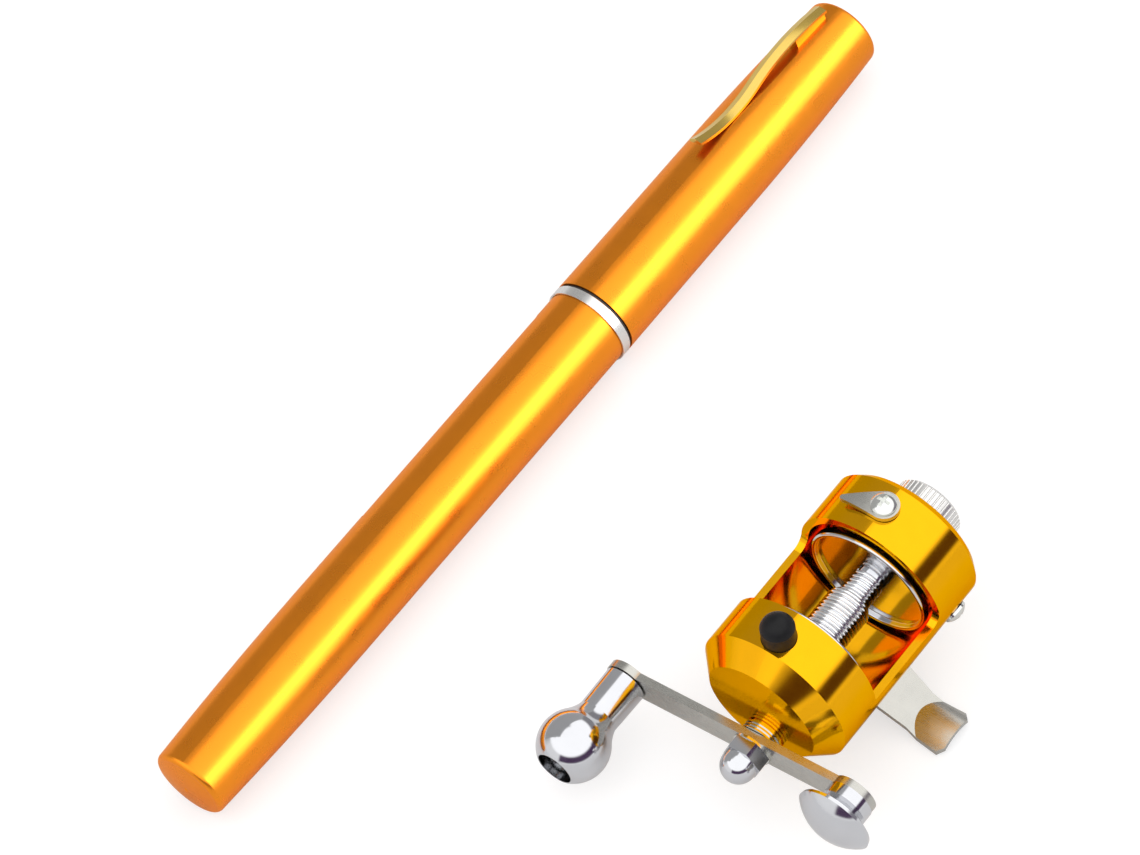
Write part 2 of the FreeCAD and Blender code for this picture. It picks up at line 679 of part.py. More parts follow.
def make_frame():
    frame = turned("frame_shell", [
        (S.cover_depth, S.shell_bore), (S.cover_depth, S.shell_radius),
        (S.band_end, S.shell_radius), (S.band_end, S.shell_bore),
        (S.window_start, S.shell_bore), (S.window_start, S.bush_radius),
        (S.bulkhead_start, S.bush_radius), (S.bulkhead_start, S.shell_bore)])
    corner = S.window_corner
    pocket(frame, "XZ_Plane", [
        (S.window_start, S.window_floor),
        (S.window_end - corner, S.window_floor), Bend(corner, 1),
        (S.window_end, S.window_floor + corner),
        (S.window_end, S.shell_radius + 1), (S.window_start, S.shell_radius + 1)],
        4 * S.shell_radius, middle=True)
    drill(frame, "YZ_Plane", [
        (0, -S.gear_distance, S.crank_shaft_radius + S.shaft_play),
        (S.post_side, S.post_height, S.post_radius),
        (-S.post_side, S.post_height, S.post_radius)],
        S.window_start - S.bulkhead_start, lift=S.bulkhead_start)
    drill(frame, "XY_Plane", [
        (S.button_place, 0, S.button_hole),
        (S.screw_place, 0, S.screw_radius + S.shaft_play)], S.shell_radius + 1)
    pad(frame, "XZ_Plane", box(S.shelf_start, S.bulkhead_start + 0.5, S.shelf_bottom, S.shelf_top),
        2 * S.shelf_half_width, middle=True)
    drill(frame, "XY_Plane", [(S.button_place, 0, S.stem_radius + S.shaft_play)],
          S.shelf_top + 1)
    return frame


def make_cover():
    cover = turned("side_cover", [
        (0, 0), (0, S.face_radius), (S.cover_depth, S.shell_radius),
        (S.cover_depth, S.shell_bore), (S.cover_lip_end, S.shell_bore),
        (S.cover_lip_end, S.cover_lip_bore), (S.cover_depth, S.cover_lip_bore),
        (S.cover_wall, S.cover_inner_face), (S.cover_wall, S.cover_boss_radius),
        (S.cover_boss_end, S.cover_boss_radius),
        (S.cover_boss_end, S.shaft_radius + S.shaft_play),
        (S.cover_boss_floor, S.shaft_radius + S.shaft_play), (S.cover_boss_floor, 0)])
    drill(cover, "YZ_Plane", [(0, -S.gear_distance, S.boss_neck)], S.cover_wall + 1)
    drill(cover, "XY_Plane", [(S.button_place, 0, S.flange_radius + 0.3)], S.shell_bore + 0.3)


def make_shaft_bush():
    """The boss on the flat face: a ribbed collar outside, a neck through the cover."""
    low, neck, outer = S.boss_start, S.boss_neck, S.boss_radius
    bore = S.crank_shaft_radius + S.shaft_play
    pitch = -low / (2 * S.boss_ribs)
    outline = [(S.cover_wall, bore), (low, bore)]
    for rib in range(int(cell("boss_ribs"))):
        rib_start = low + pitch * (2 * rib)
        outline += [(rib_start, outer), (rib_start + pitch, outer),
                    (rib_start + pitch, outer - S.rib_depth),
                    (rib_start + pitch * 2, outer - S.rib_depth)]
    outline += [(0, neck), (S.cover_wall, neck)]
    turned("shaft_bush", outline)


def make_end_cap():
    lid = turned("end_cap_blank", [
        (S.lid_lip_start, S.lid_lip_bore), (S.lid_lip_start, S.shell_bore),
        (S.band_end, S.shell_bore), (S.band_end, S.shell_radius), (S.lid_edge, S.shell_radius),
        (S.lid_face, S.lid_face_radius), (S.lid_face, S.lid_boss_radius),
        (S.lid_boss_end, S.lid_boss_radius), (S.lid_boss_end, S.lid_bore),
        (S.lid_bush_end, S.lid_bore), (S.lid_bush_end, S.bush_radius),
        (S.band_end, S.bush_radius), (S.band_end, S.lid_lip_bore)])
    drill(lid, "XY_Plane", [(S.screw_place, 0, S.screw_radius + S.shaft_play)], S.shell_radius)
    return lid


def screw_outline(tip, seat, top):
    """Half section of a pan-head screw about Z, standing at x = 0."""
    head, shank = S.screw_head_radius, S.screw_radius
    return [(0, tip), (shank, tip), (shank, seat), (head, seat),
            (head, seat + S.screw_rim), Bend(bow_radius(head, top - seat - S.screw_rim), 1),
            (0, top)]


def cross_recess(screw, top):
    """The Phillips recess in a head."""
    long_half, short_half = S.cross_length, S.cross_width
    for reach, width in ((long_half, short_half), (short_half, long_half)):
        pocket(screw, "XY_Plane", box(-reach, reach, -width, width),
               S.cross_depth + OVERRUN, lift=top - S.cross_depth)


def make_side_screws():
    """Two of the three band screws, a third of a turn each side of the top."""
    side = new_body("side_screw")
    revolve(side, screw_outline(S.screw_tip, S.shell_radius, S.screw_head_top), "V_Axis")
    cross_recess(side, S.screw_head_top)
    return mirrored_pair("side_screws", side)


def make_pivot_screw():
    """The third screw stands at the top, over the lever that it carries."""
    seat = S.lever_base + S.lever_thickness
    top = seat + (S.screw_head_top - S.shell_radius)
    pivot = new_body("pivot_screw")
    revolve(pivot, screw_outline(S.pawl_arm_bottom, seat, top), "V_Axis")
    cross_recess(pivot, top)


def make_lever_and_pawl():
    lean, reach = math.radians(cell("lever_angle")), cell("lever_reach")
    computed("click_lever", lever_shape(Vector(-reach * math.sin(lean), reach * math.cos(lean), 0)))
    computed("click_pawl", pawl_shape())


def make_click_wheel():
    wheel = new_body("click_wheel")
    revolve(wheel, [
        (S.spool_end, S.shaft_radius), (S.spool_end, S.wheel_hub), (S.wheel_start, S.wheel_hub),
        (S.wheel_start, S.wheel_radius), (S.wheel_end, S.wheel_radius),
        (S.wheel_end, S.shaft_radius)])
    root = S.wheel_radius - S.tooth_depth
    clear = S.wheel_radius + S.tooth_clear
    notch = pocket(wheel, "YZ_Plane", [(0, root), (S.tooth_run, clear), (-S.tooth_lean, clear)],
                   S.wheel_end - S.wheel_start + OVERRUN, lift=S.wheel_start)
    repeat_round(wheel, notch, "X_Axis", int(cell("wheel_teeth")))


def lever_shape(tip):
    """A teardrop cut out of a shell that bows over the band."""
    base, bow = cell("lever_base"), cell("lever_bow")
    head, nose, top = cell("lever_head"), cell("lever_tip_radius"), base + 3
    low = base - 6
    reach = tip.Length
    lean = math.acos((head - nose) / reach)
    heading = math.atan2(tip.y, tip.x)
    corners = []
    for turn, centre, radius in ((1, Vector(), head), (1, tip, nose), (-1, tip, nose),
                                 (-1, Vector(), head)):
        angle = heading + turn * lean
        corners.append(centre + Vector(radius * math.cos(angle), radius * math.sin(angle), 0))
    nose_point = tip * (1 + nose / reach)
    back_point = tip * (-head / reach)
    edges = [Part.LineSegment(corners[0], corners[1]).toShape(),
             Part.Arc(corners[1], nose_point, corners[2]).toShape(),
             Part.LineSegment(corners[2], corners[3]).toShape(),
             Part.Arc(corners[3], back_point, corners[0]).toShape()]
    teardrop = Part.Face(Part.Wire(edges)).extrude(Vector(0, 0, top - low))
    teardrop.translate(Vector(0, 0, low))
    axis_height = base - bow
    start = Vector(-LONG / 2, 0, axis_height)
    outer = Part.makeCylinder(bow + cell("lever_thickness"), LONG, start, Vector(1, 0, 0))
    inner = Part.makeCylinder(bow, LONG, start, Vector(1, 0, 0))
    hole = Part.makeCylinder(cell("screw_radius"), top - low, Vector(0, 0, low))
    return teardrop.common(outer).cut(inner).cut(hole)


def pawl_shape():
    """A hub on the pivot's lower end, an arm along +Y and a tooth that hangs from its tip."""
    low, high = cell("pawl_arm_bottom"), cell("pawl_arm_top")
    half, reach = cell("pawl_half_width"), cell("pawl_reach")
    hub = Part.makeCylinder(cell("pawl_hub"), cell("pawl_hub_top") - low, Vector(0, 0, low))
    arm = Part.makeBox(2 * half, reach + half, high - low, Vector(-half, 0, low))
    tooth = Part.makeBox(2 * half, 2 * half, low - cell("pawl_tooth_bottom") + SINK,
                         Vector(-half, reach - half, cell("pawl_tooth_bottom")))
    bore = Part.makeCylinder(cell("screw_radius"), LONG, Vector(0, 0, low - OVERRUN))
    return hub.fuse([arm, tooth]).cut(bore).removeSplitter()


# ---------------------------------------------------------------- gears, clutch and button

def gear_face(module, teeth, outer, turn):
    """An involute gear's outline in the YZ plane at x = 0, one tooth centred at turn radians."""
    pressure = math.radians(20)
    pitch = module * teeth / 2
    base = pitch * math.cos(pressure)
    root = pitch - 1.25 * module
    roll = math.tan(pressure) - pressure
    start = max(base, root) + TINY

    def flank_angle(radius):
        tilt = math.acos(base / radius)
        return math.pi / (2 * teeth) + roll - (math.tan(tilt) - tilt)

    def point(radius, angle):
        return Vector(0, radius * math.cos(angle), radius * math.sin(angle))

    steps = [start + (outer - start) * part / 5 for part in range(6)]
    edges = []
    for tooth in range(teeth):
        centre = turn + 2 * math.pi * tooth / teeth
        space = centre + math.pi / teeth
        low_angle = flank_angle(start)
        rising = [point(radius, centre - flank_angle(radius)) for radius in steps]
        falling = [point(radius, centre + flank_angle(radius)) for radius in reversed(steps)]
        for flank in (rising, falling):
            curve = Part.BSplineCurve()
            curve.interpolate(flank)
            if flank is rising:
                edges.append(Part.LineSegment(point(root, centre - low_angle), flank[0]).toShape())
            edges.append(curve.toShape())
            if flank is rising:
                edges.append(Part.Arc(flank[-1], point(outer, centre), falling[0]).toShape())
        edges.append(Part.LineSegment(falling[-1], point(root, centre + low_angle)).toShape())
        next_root = point(root, centre + 2 * math.pi / teeth - low_angle)
        edges.append(Part.Arc(point(root, centre + low_angle), point(root, space),
                              next_root).toShape())
    return Part.Face(Part.Wire(edges))


def drive_gear_shape():
    start, width = cell("gear_start"), cell("gear_width")
    face = gear_face(cell("gear_module"), int(cell("gear_teeth")), cell("gear_outer"), math.pi / 2)
    gear = face.extrude(Vector(width, 0, 0))
    gear.translate(Vector(start, 0, 0))
    back = start + width + cell("gear_hub_length")
    hub = rod_along(start + width, back, cell("gear_hub_radius"))
    bore = rod_along(start - OVERRUN, back + OVERRUN, cell("crank_shaft_radius"))
    return gear.fuse(hub).cut(bore)


def pinion_shape():
    teeth = int(cell("pinion_teeth"))
    module = cell("gear_module")
    outer = module * (teeth / 2 + 1)
    neck_end, teeth_end = cell("pinion_neck_end"), cell("pinion_teeth_end")
    start, end = cell("pinion_start"), cell("pinion_end")
    face = gear_face(module, teeth, outer, -math.pi / 2 + math.pi / teeth)
    gear = face.extrude(Vector(teeth_end - neck_end, 0, 0))
    gear.translate(Vector(neck_end, 0, 0))
    collar = rod_along(start, start + cell("pinion_collar"), cell("pinion_collar_radius"))
    neck = rod_along(start, neck_end, cell("pinion_neck_radius"))
    hub = rod_along(teeth_end, end, cell("pinion_hub_radius"))
    bore = rod_along(start - OVERRUN, end + OVERRUN, cell("shaft_radius") + cell("shaft_play"))
    half = cell("pinion_slot") / 2
    slot = Part.makeBox(end, LONG, 2 * half, Vector(cell("slot_start"), -LONG / 2, -half))
    return gear.fuse([collar, neck, hub]).cut(bore).cut(slot).removeSplitter()


def make_spool_shaft():
    shaft = turned("spool_shaft_blank", [
        (S.shaft_start, 0), (S.shaft_start, S.shaft_radius), (S.shaft_end, S.shaft_radius),
        (S.shaft_end, 0)])
    pin = new_body("drive_pin")
    sketch = new_sketch(pin, "XZ_Plane")
    draw_circle(sketch, S.pin_place, 0, S.pin_radius)
    extrude(pin, sketch, 2 * S.pin_reach, middle=True)
    carve("spool_shaft", shaft, [pin])
    bore = S.shaft_radius + S.shaft_play
    for label, start, end in (("near_bush", S.bulkhead_start, S.window_start),
                              ("far_bush", S.band_end, S.lid_bush_end)):
        turned(label, [(start, bore), (start, S.bush_radius), (end, S.bush_radius), (end, bore)])


def make_crank_shaft():
    turned("crank_shaft", [
        (S.crank_shaft_start, 0), (S.crank_shaft_start, S.crank_shaft_radius),
        (S.crank_shaft_end, S.crank_shaft_radius), (S.crank_shaft_end, 0)])
    computed("drive_gear", drive_gear_shape())


def make_yoke():
    """A fork over the pinion's neck; its ramp block is pushed aside by the button's stem."""
    yoke = new_body("clutch_yoke")
    wide, tab, slot = S.yoke_half_width, S.yoke_tab, S.yoke_slot
    pad(yoke, "YZ_Plane", [
        (-wide, S.yoke_prong), (-slot, S.yoke_prong), (-slot, 0), Bend(slot, -1), (0, slot),
        Bend(slot, -1), (slot, 0), (slot, S.yoke_prong), (wide, S.yoke_prong),
        (wide, S.yoke_ear_top), (tab, S.yoke_ear_top), (tab, S.yoke_top), (-tab, S.yoke_top),
        (-tab, S.yoke_ear_top), (-wide, S.yoke_ear_top)],
        S.yoke_thickness, lift=S.yoke_start)
    back = S.yoke_start + S.yoke_thickness
    pad(yoke, "XZ_Plane", [
        (back - SINK, S.ramp_low), (S.ramp_shift - S.ramp_nose, S.ramp_low),
        (S.ramp_shift - S.ramp_nose, S.ramp_nose), (S.ramp_shift - S.yoke_top, S.yoke_top),
        (back - SINK, S.yoke_top)], 2 * S.ramp_half_width, middle=True)
    hole = S.post_radius + S.shaft_play
    drill(yoke, "YZ_Plane", [(S.post_side, S.post_height, hole),
                             (-S.post_side, S.post_height, hole)],
          S.yoke_thickness + 2 * OVERRUN, lift=S.yoke_start - OVERRUN)
    post = new_body("yoke_post")
    sketch = new_sketch(post, "YZ_Plane", lift=S.post_start)
    draw_circle(sketch, S.post_side, S.post_height, S.post_radius)
    extrude(post, sketch, S.window_start - S.post_start)
    mirrored_pair("yoke_posts", post)


def make_button():
    """Rubber button, its stem with a 45 degree wedge at the foot, and the spring below."""
    button = new_body("button_cap")
    dome = bow_radius(S.button_radius, S.button_top - S.button_side_top)
    revolve(button, [
        (S.stem_radius, S.button_base), (S.button_radius, S.button_base),
        (S.button_radius, S.button_side_top), Bend(dome, 1), (0, S.button_top),
        (0, S.stem_top), (S.stem_radius, S.stem_top)], "V_Axis")
    stem = new_body("button_stem")
    flange_low = S.button_base - S.flange_thickness
    revolve(stem, [
        (0, S.stem_bottom), (S.stem_radius, S.stem_bottom), (S.stem_radius, flange_low),
        (S.flange_radius, flange_low), (S.flange_radius, S.button_base),
        (S.stem_radius, S.button_base), (S.stem_radius, S.stem_top), (0, S.stem_top)], "V_Axis")
    shift = S.wedge_shift - S.button_place
    low = S.stem_bottom - OVERRUN
    side = S.wedge_reach
    pocket(stem, "XZ_Plane", [(-side, low), (shift - low, low), (-side, shift + side)],
           2 * side, middle=True)


def spring_shape():
    """A coil round the stem, its wire's middle starting at z = 0; it reaches the stem's flange."""
    wire, radius = cell("spring_wire"), cell("spring_radius")
    room = cell("button_base") - cell("flange_thickness") - cell("shelf_top")
    helix = Part.makeHelix(cell("spring_pitch"), room - 2 * wire, radius)
    corner = wire / math.cos(math.pi / WIRE_SIDES)
    ring = []
    for step in range(WIRE_SIDES):
        angle = (step + 0.5) * 2 * math.pi / WIRE_SIDES
        ring.append(Vector(radius + corner * math.cos(angle), 0, corner * math.sin(angle)))
    section = Part.makePolygon(ring + ring[:1])
    return Part.Wire(helix.Edges).makePipeShell([section], True, True)


# ---------------------------------------------------------------- spool, line and tension knob

def make_spool():
    hub_start = S.spool_start + S.near_flange
    outer = S.flange_radius_spool
    turned("spool", [
        (S.spool_start, S.shaft_radius), (S.spool_start, outer), (hub_start, outer),
        (hub_start, S.arbor_radius), (S.far_flange_start, S.arbor_radius),
        (S.far_flange_start, outer - S.rim_width), (S.rim_start, outer - S.rim_width),
        (S.rim_start, outer), (S.spool_end, outer), (S.spool_end, S.shaft_radius)])
    step = S.line_step_place
    turned("line_winding", [
        (hub_start, S.arbor_radius), (hub_start, S.line_start_radius),
        (step, S.line_start_radius - S.line_slump),
        (step + S.line_step, S.line_end_radius + S.line_rise),
        (S.far_flange_start, S.line_end_radius), (S.far_flange_start, S.arbor_radius)])


def make_tension_knob():
    knob = new_body("tension_knob")
    edge = S.knob_edge
    revolve(knob, [
        (S.knob_start, S.knob_bore), (S.knob_start, S.knob_radius),
        (S.knob_end - edge, S.knob_radius), (S.knob_end, S.knob_radius - edge), (S.knob_end, 0),
        (S.knob_nib_start, 0), (S.knob_nib_start, S.knob_nib_radius),
        (S.knob_floor, S.knob_nib_radius), (S.knob_floor, S.knob_bore)])
    sketch = new_sketch(knob, "YZ_Plane", lift=S.knob_start)
    draw_circle(sketch, 0, S.knob_radius, S.flute_radius)
    flute = extrude(knob, sketch, S.knob_end - S.knob_start, "Pocket", back=True)
    repeat_round(knob, flute, "X_Axis", int(cell("flutes")))
    turned("tension_shim", [
        (S.shim_start, 0), (S.shim_start, S.knob_nib_radius), (S.shim_end, S.knob_nib_radius),
        (S.shim_end, 0)])


# ---------------------------------------------------------------- crank

def plate_outline():
    """Half-lugs, straight bar: the crank plate's outline, counter-clockwise in Y and Z."""
    half, lug = S.plate_half_width, S.lug_radius
    reach = leg(lug, half)
    grip, weight = S.grip_side, S.weight_side
    return [
        (weight + reach, -half), (grip - reach, -half), Bend(lug, 1), (grip, -lug),
        Bend(lug, 1), (grip + lug, 0), Bend(lug, 1), (grip, lug), Bend(lug, 1),
        (grip - reach, half), (weight + reach, half), Bend(lug, 1), (weight, lug),
        Bend(lug, 1), (weight - lug, 0), Bend(lug, 1), (weight, -lug), Bend(lug, 1)]


def make_crank_plate():
    plate = new_body("crank_plate")
    pad(plate, "YZ_Plane", plate_outline(), S.plate_thickness, lift=S.plate_back,
        back=True)
    drill(plate, "YZ_Plane", [
        (0, 0, S.crank_shaft_radius), (S.grip_side, 0, S.axle_radius),
        (S.weight_side, 0, S.weight_pin)], S.plate_thickness + 2, lift=S.plate_back + 1,
        back=False)


def make_crank_fasteners():
    plate_front = S.plate_back - S.plate_thickness
    washer_front = plate_front - S.washer_thickness
    turned("spring_washer", [
        (washer_front, S.crank_shaft_radius), (washer_front, S.washer_radius),
        (plate_front, S.washer_radius), (plate_front, S.crank_shaft_radius)])
    nut = new_body("acorn_nut")
    corner = S.nut_flats * 2 / as_size(3).root()
    hexagon = []
    for step in range(6):
        angle = math.radians(60 * step)
        hexagon.append((corner * round(math.cos(angle), 9), corner * round(math.sin(angle), 9)))
    pad(nut, "YZ_Plane", hexagon, S.nut_height, lift=washer_front, back=True)
    front = washer_front - S.nut_height
    dome_centre = S.nut_tip + S.nut_dome
    revolve(nut, [
        (front + S.nut_overlap, 0), (front + S.nut_overlap, S.nut_dome), (dome_centre, S.nut_dome),
        Bend(S.nut_dome, 1), (S.nut_tip, 0)])
    revolve(nut, [
        (washer_front, 0), (washer_front, S.crank_shaft_radius),
        (S.nut_bore_end, S.crank_shaft_radius), (S.nut_bore_end, 0)], kind="Groove")


def make_grip():
    """Pear-shaped turning grip with a recessed outer end, and the shouldered axle it turns on."""
    bore = S.axle_radius + S.axle_play
    turned("handle_knob", [
        (S.grip_start, bore), (S.grip_recess_end, bore), (S.grip_recess_end, S.grip_recess),
        (S.grip_end, S.grip_recess),
        (S.grip_end, leg(S.grip_ball, S.grip_end - S.grip_recess_end)), Bend(S.grip_ball, -1),
        (S.grip_recess_end, S.grip_ball), Bend(S.grip_ball, -1),
        (S.grip_recess_end + leg(S.grip_ball, S.grip_flare), S.grip_flare),
        Bend(S.grip_flare_bend, 1),
        (S.grip_stem_end, S.grip_waist), (S.grip_start, S.grip_base)])
    axle = turned("grip_axle", [
        (S.axle_tail_end, 0), (S.axle_tail_end, S.axle_tail), (S.plate_back, S.axle_tail),
        (S.plate_back, S.axle_radius), (S.axle_end, S.axle_radius), (S.axle_end, S.axle_head),
        (S.axle_head_end, S.axle_head), (S.axle_head_end, 0)])
    wide = S.axle_head + OVERRUN
    pocket(axle, "YZ_Plane", box(-wide, wide, -S.axle_slot, S.axle_slot), S.axle_slot_depth,
           lift=S.axle_head_end)


def make_counterweight():
    plate_front = S.plate_back - S.plate_thickness
    turned("counterweight", [
        (plate_front, S.weight_pin), (S.weight_pin_end, S.weight_pin), (S.weight_pin_end, 0),
        (S.weight_tip, 0), Bend(bow_radius(S.weight_head, S.weight_head_side - S.weight_tip), -1),
        (S.weight_head_side, S.weight_head), (S.weight_head_start, S.weight_head - S.weight_edge),
        (S.weight_base_end - S.weight_fillet, S.weight_neck), (S.weight_base_end, S.weight_base),
        (plate_front, S.weight_base)])
    turned("counterweight_rivet", [
        (S.axle_tail_end, 0), (S.axle_tail_end, S.axle_tail), (S.plate_back, S.axle_tail),
        (S.plate_back, S.weight_pin), (S.weight_pin_end, S.weight_pin), (S.weight_pin_end, 0)])


# ---------------------------------------------------------------- foot

def foot_shape():
    """A stamped plate: flat under the body, sloping down, then a saddle tongue at each end."""
    top, plate = cell("foot_flat_top"), cell("foot_plate")
    bend, slope_end, crest = cell("foot_bend"), cell("foot_slope_end"), cell("foot_crest")
    reach, centre, bore = cell("foot_reach"), cell("foot_centre"), cell("saddle_bore")
    width = 2 * cell("foot_root")
    steep = (top - crest) / (slope_end - bend)
    slope = math.atan(steep)
    inner_bend = bend - plate * math.tan(slope / 2)
    slope_low = slope_end + cell("foot_shoulder")

    def under(y):
        """Height of the slope's lower face."""
        return top - plate - (y - inner_bend) * steep

    def slab(outline):
        spots = [Vector(centre - width / 2, y, z) for y, z in outline]
        return Part.Face(Part.makePolygon(spots + spots[:1])).extrude(Vector(width, 0, 0))

    plate_slab = slab([(0, top), (bend, top), (slope_low, top - (slope_low - bend) * steep),
                       (slope_low, under(slope_low)), (inner_bend, top - plate),
                       (0, top - plate)])
    below_slope = slab([(0, under(0)), (slope_low, under(slope_low)), (slope_low, -LONG), (0, -LONG)])
    axis_height = crest - cell("saddle_wall") - bore
    saddle_end = Vector(centre, 0, axis_height)
    inner = Part.makeCylinder(bore, 2 * reach, saddle_end, Vector(0, 1, 0))
    outer = Part.makeCylinder(bore + cell("saddle_wall"), reach, saddle_end, Vector(0, 1, 0))
    upper = Part.makeBox(width, reach, LONG, Vector(centre - width / 2, 0, axis_height))
    tongue = outer.common(upper).cut(inner).cut(below_slope)
    half = plate_slab.cut(inner).fuse(tongue).common(foot_plan())
    return half.fuse(half.mirror(Vector(0, 0, 0), Vector(0, 1, 0))).removeSplitter()


def foot_plan():
    """The plan of one half: root, waist and a tongue with rounded corners."""
    centre, root, waist, tip = (cell("foot_centre"), cell("foot_root"), cell("foot_waist"),
                                cell("foot_tip"))
    bend, slope_end, reach = cell("foot_bend"), cell("foot_slope_end"), cell("foot_reach")
    corner = cell("foot_corner")
    right = [(root, 0), (root, bend - cell("foot_shoulder")), (waist, slope_end), (tip, reach - corner),
             (tip - corner, reach)]
    edges = []
    spots = [Vector(centre + x, y, -LONG) for x, y in right]
    spots += [Vector(centre - x, y, -LONG) for x, y in reversed(right)]
    for number, start in enumerate(spots):
        end = spots[(number + 1) % len(spots)]
        edges.append(Part.LineSegment(start, end).toShape())
    return Part.Face(Part.Wire(edges)).extrude(Vector(0, 0, LONG))


def make_foot_screws():
    screw = new_body("foot_screw")
    head_top = S.foot_flat_top - S.foot_plate
    revolve(screw, [
        (0, S.foot_screw_low), (S.foot_screw_head, S.foot_screw_low),
        (S.foot_screw_head, head_top), (S.foot_screw_radius, head_top),
        (S.foot_screw_radius, S.foot_screw_top), (0, S.foot_screw_top)], "V_Axis")
    return mirrored_pair("foot_screws", screw)


def make_foot(drum, screws):
    """The foot and the thin pad between it and the body."""
    carve("reel_foot", computed("reel_foot_blank", foot_shape()), [screws])
    blank = new_body("foot_pad_blank")
    pad(blank, "XZ_Plane", box(
        S.foot_centre - S.pad_half_width, S.foot_centre + S.pad_half_width, S.foot_flat_top,
        -S.shell_bore), 2 * S.pad_reach, middle=True)
    carve("foot_pad", blank, [drum, screws])


def make_drum():
    """A solid drum of the frame's outer size, which the pad is cut to fit."""
    drum = doc.addObject("Part::Cylinder", "shell_drum")
    drum.setExpression("Radius", S.shell_radius.text)
    drum.setExpression("Height", S.band_end.text)
    home = Bench.home.shifted()
    home.rotation = Rotation(Vector(0, 1, 0), 90)
    home.put(drum)
    return drum


# ---------------------------------------------------------------- build, check and write

def make_rod():
    home = Home(-(S.rod_length / 2), S.rod_side, S.cap_radius)
    Bench.home = home
    make_barrel()
    make_barrel_fittings()
    shell = make_cap()
    for number in range(1, 6):
        make_section(number)
    make_guides()
    make_tip_guide(make_tip())
    Bench.home = home.turned(-cell("clip_lean"))
    make_clip_fixing(shell, make_clip())


def make_reel():
    home = Home(S.reel_near_face, S.reel_side, S.reel_height)
    Bench.home = home
    frame = make_frame()
    lid = make_end_cap()
    make_cover()
    make_spool_shaft()
    make_spool()
    make_click_wheel()
    computed("pinion", pinion_shape())
    make_yoke()
    make_tension_knob()
    Bench.home = home.shifted(x=S.foot_centre, y=S.foot_screw_side)
    foot_screws = make_foot_screws()
    Bench.home = home
    make_foot(make_drum(), foot_screws)
    Bench.home = home.shifted(x=S.button_place)
    make_button()
    Bench.home = home.shifted(x=S.button_place, z=S.shelf_top + S.spring_wire)
    computed("button_spring", spring_shape())
    Bench.home = home.shifted(x=S.screw_place)
    make_pivot_screw()
    make_lever_and_pawl()
    Bench.home = home.shifted(x=S.screw_place).turned(cell("screw_turn"))
    side_screws = make_side_screws()
    carve("reel_frame", frame, [side_screws, foot_screws])
    carve("end_cap", lid, [side_screws])
    make_crank(home.shifted(z=-S.gear_distance))


def make_crank(home):
    Bench.home = home
    make_shaft_bush()
    make_crank_shaft()
    turn = -cell("crank_turn")
    Bench.home = home.turned(turn)
    make_crank_plate()
    make_crank_fasteners()
    Bench.home = home.swung(S.grip_side, turn)
    make_grip()
    Bench.home = home.swung(S.weight_side, turn)
    make_counterweight()


NODES = (
    ["barrel", "end_plug", "bumper", "seat_collar", "lock_ring", "cap_shell", "cap_liner",
     "cap_plug", "pocket_clip", "clip_block", "clip_rivet"]
    + [f"rod_section_{number}" for number in range(1, 6)] + ["rod_tip", "ferrule_1"]
    + [f"guide_{number}" for number in range(2, 6)] + ["tip_guide"]
    + ["reel_frame", "side_cover", "shaft_bush", "end_cap", "side_screws", "pivot_screw",
       "click_lever", "click_pawl", "click_wheel", "spool", "spool_shaft", "drive_pin",
       "line_winding", "near_bush", "far_bush", "tension_knob", "tension_shim", "pinion",
       "clutch_yoke", "yoke_posts", "drive_gear", "crank_shaft", "crank_plate",
       "spring_washer", "acorn_nut", "grip_axle", "handle_knob", "counterweight",
       "counterweight_rivet", "button_cap", "button_stem", "button_spring", "reel_foot",
       "foot_pad", "foot_screws"])


def check_objects():
    """Stop if any object failed to build."""
    for item in doc.Objects:
        if "Invalid" in item.State or "Error" in item.State:
            raise RuntimeError(f"{item.Label} failed: {item.State}")
    for label in NODES:
        shape = doc.getObjectsByLabel(label)[0].Shape
        if shape.isNull() or not shape.isValid() or not shape.Solids:
            raise RuntimeError(f"{label} has no valid solid")


def write_steps():
    os.makedirs("parts", exist_ok=True)
    for label in NODES:
        doc.getObjectsByLabel(label)[0].Shape.exportStep(f"parts/{label}.step")


fill_sheet()
make_rod()
make_reel()
doc.recompute()
check_objects()
write_steps()
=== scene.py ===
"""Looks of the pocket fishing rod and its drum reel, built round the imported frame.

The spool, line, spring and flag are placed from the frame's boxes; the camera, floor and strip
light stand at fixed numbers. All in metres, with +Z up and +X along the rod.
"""

import json
import math
import random

import bmesh
import bpy
from mathutils import Matrix, Vector


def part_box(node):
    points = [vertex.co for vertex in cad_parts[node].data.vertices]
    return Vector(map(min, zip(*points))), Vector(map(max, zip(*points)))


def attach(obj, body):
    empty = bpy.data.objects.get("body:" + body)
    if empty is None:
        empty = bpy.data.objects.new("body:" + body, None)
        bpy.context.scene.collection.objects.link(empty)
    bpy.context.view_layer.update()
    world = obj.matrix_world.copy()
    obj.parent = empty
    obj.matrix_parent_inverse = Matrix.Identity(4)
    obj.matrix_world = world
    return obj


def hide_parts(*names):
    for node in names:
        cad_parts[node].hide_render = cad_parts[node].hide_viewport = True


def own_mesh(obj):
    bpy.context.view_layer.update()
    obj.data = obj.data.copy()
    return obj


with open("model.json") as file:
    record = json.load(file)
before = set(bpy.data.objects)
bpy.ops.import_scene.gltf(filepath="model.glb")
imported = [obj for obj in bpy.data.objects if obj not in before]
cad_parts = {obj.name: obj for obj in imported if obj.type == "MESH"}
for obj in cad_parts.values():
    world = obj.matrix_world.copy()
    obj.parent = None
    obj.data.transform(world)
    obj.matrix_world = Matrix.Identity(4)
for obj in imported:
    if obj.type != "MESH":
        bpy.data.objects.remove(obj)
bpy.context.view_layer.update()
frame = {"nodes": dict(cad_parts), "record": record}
MM = 0.001
PALE = (0.95, 0.95, 0.95, 1)
WHITE = (1, 1, 1, 1)

